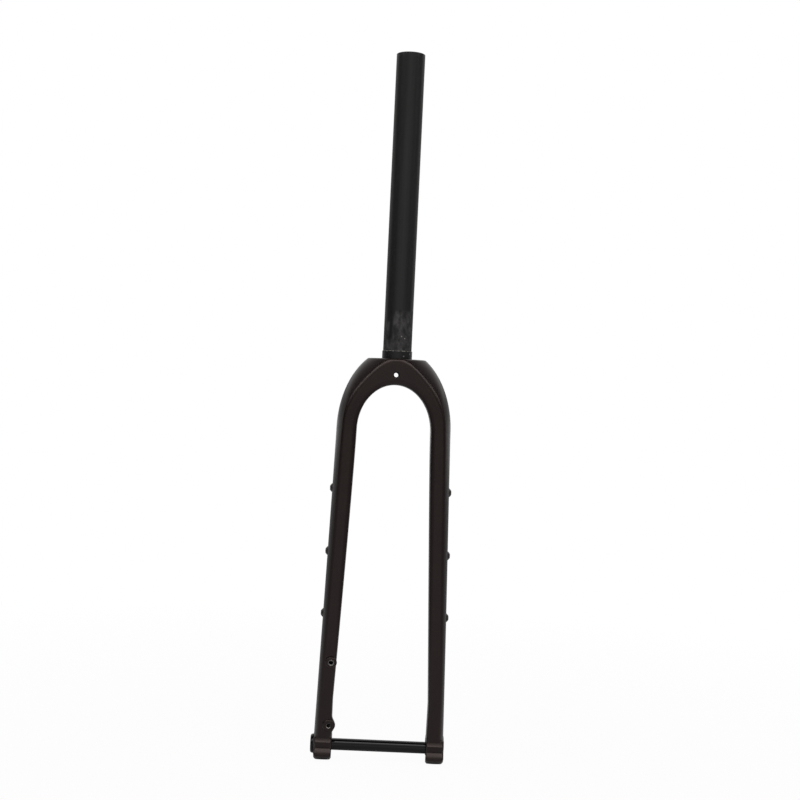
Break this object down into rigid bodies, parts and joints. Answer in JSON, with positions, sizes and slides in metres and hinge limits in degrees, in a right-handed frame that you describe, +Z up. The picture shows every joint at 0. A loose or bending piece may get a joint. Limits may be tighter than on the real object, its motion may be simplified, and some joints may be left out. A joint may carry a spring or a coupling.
{
  "type": "rigid bicycle fork",
  "caption": "Rigid bicycle fork with a straight steerer, a moulded crown arch, swept legs with cage bolts and a rear brake mount, and dropouts that hold a wheel on a thru-axle.",
  "frame": {"origin": "centre of the crown's race face, on the steerer's axis", "axes": "+Z up the steerer, +Y forward, +X to the bicycle's right"},
  "size_m": [0.1382, 0.0824, 0.7204],
  "materials": {
    "legs": "matte brown-black paint over moulded carbon fibre",
    "steerer": "satin black moulded carbon fibre, rubbed at the foot",
    "race_seat": "black anodised",
    "dropouts": "matte brown-black paint over forged alloy",
    "axle": "glossy black anodised",
    "nut": "black anodised",
    "inserts": "plain alloy, dulled",
    "bolts": "dull dark plated steel"
  },
  "bodies": {
    "root": {"steerer_tube": "steerer", "crown_race_seat": "race_seat", "crown_and_legs": "legs", "left_dropout": "dropouts", "right_dropout": "dropouts", "thru_axle": "axle", "axle_nut": "nut", "cage_insert_left_upper": "inserts", "cage_insert_left_middle": "inserts", "cage_insert_left_lower": "inserts", "cage_insert_right_upper": "inserts", "cage_insert_right_middle": "inserts", "cage_insert_right_lower": "inserts", "cage_bolt_left_upper": "bolts", "cage_bolt_left_middle": "bolts", "cage_bolt_left_lower": "bolts", "cage_bolt_right_upper": "bolts", "cage_bolt_right_middle": "bolts", "cage_bolt_right_lower": "bolts", "brake_insert_upper": "inserts", "brake_insert_lower": "inserts"}
  },
  "joints": []
}
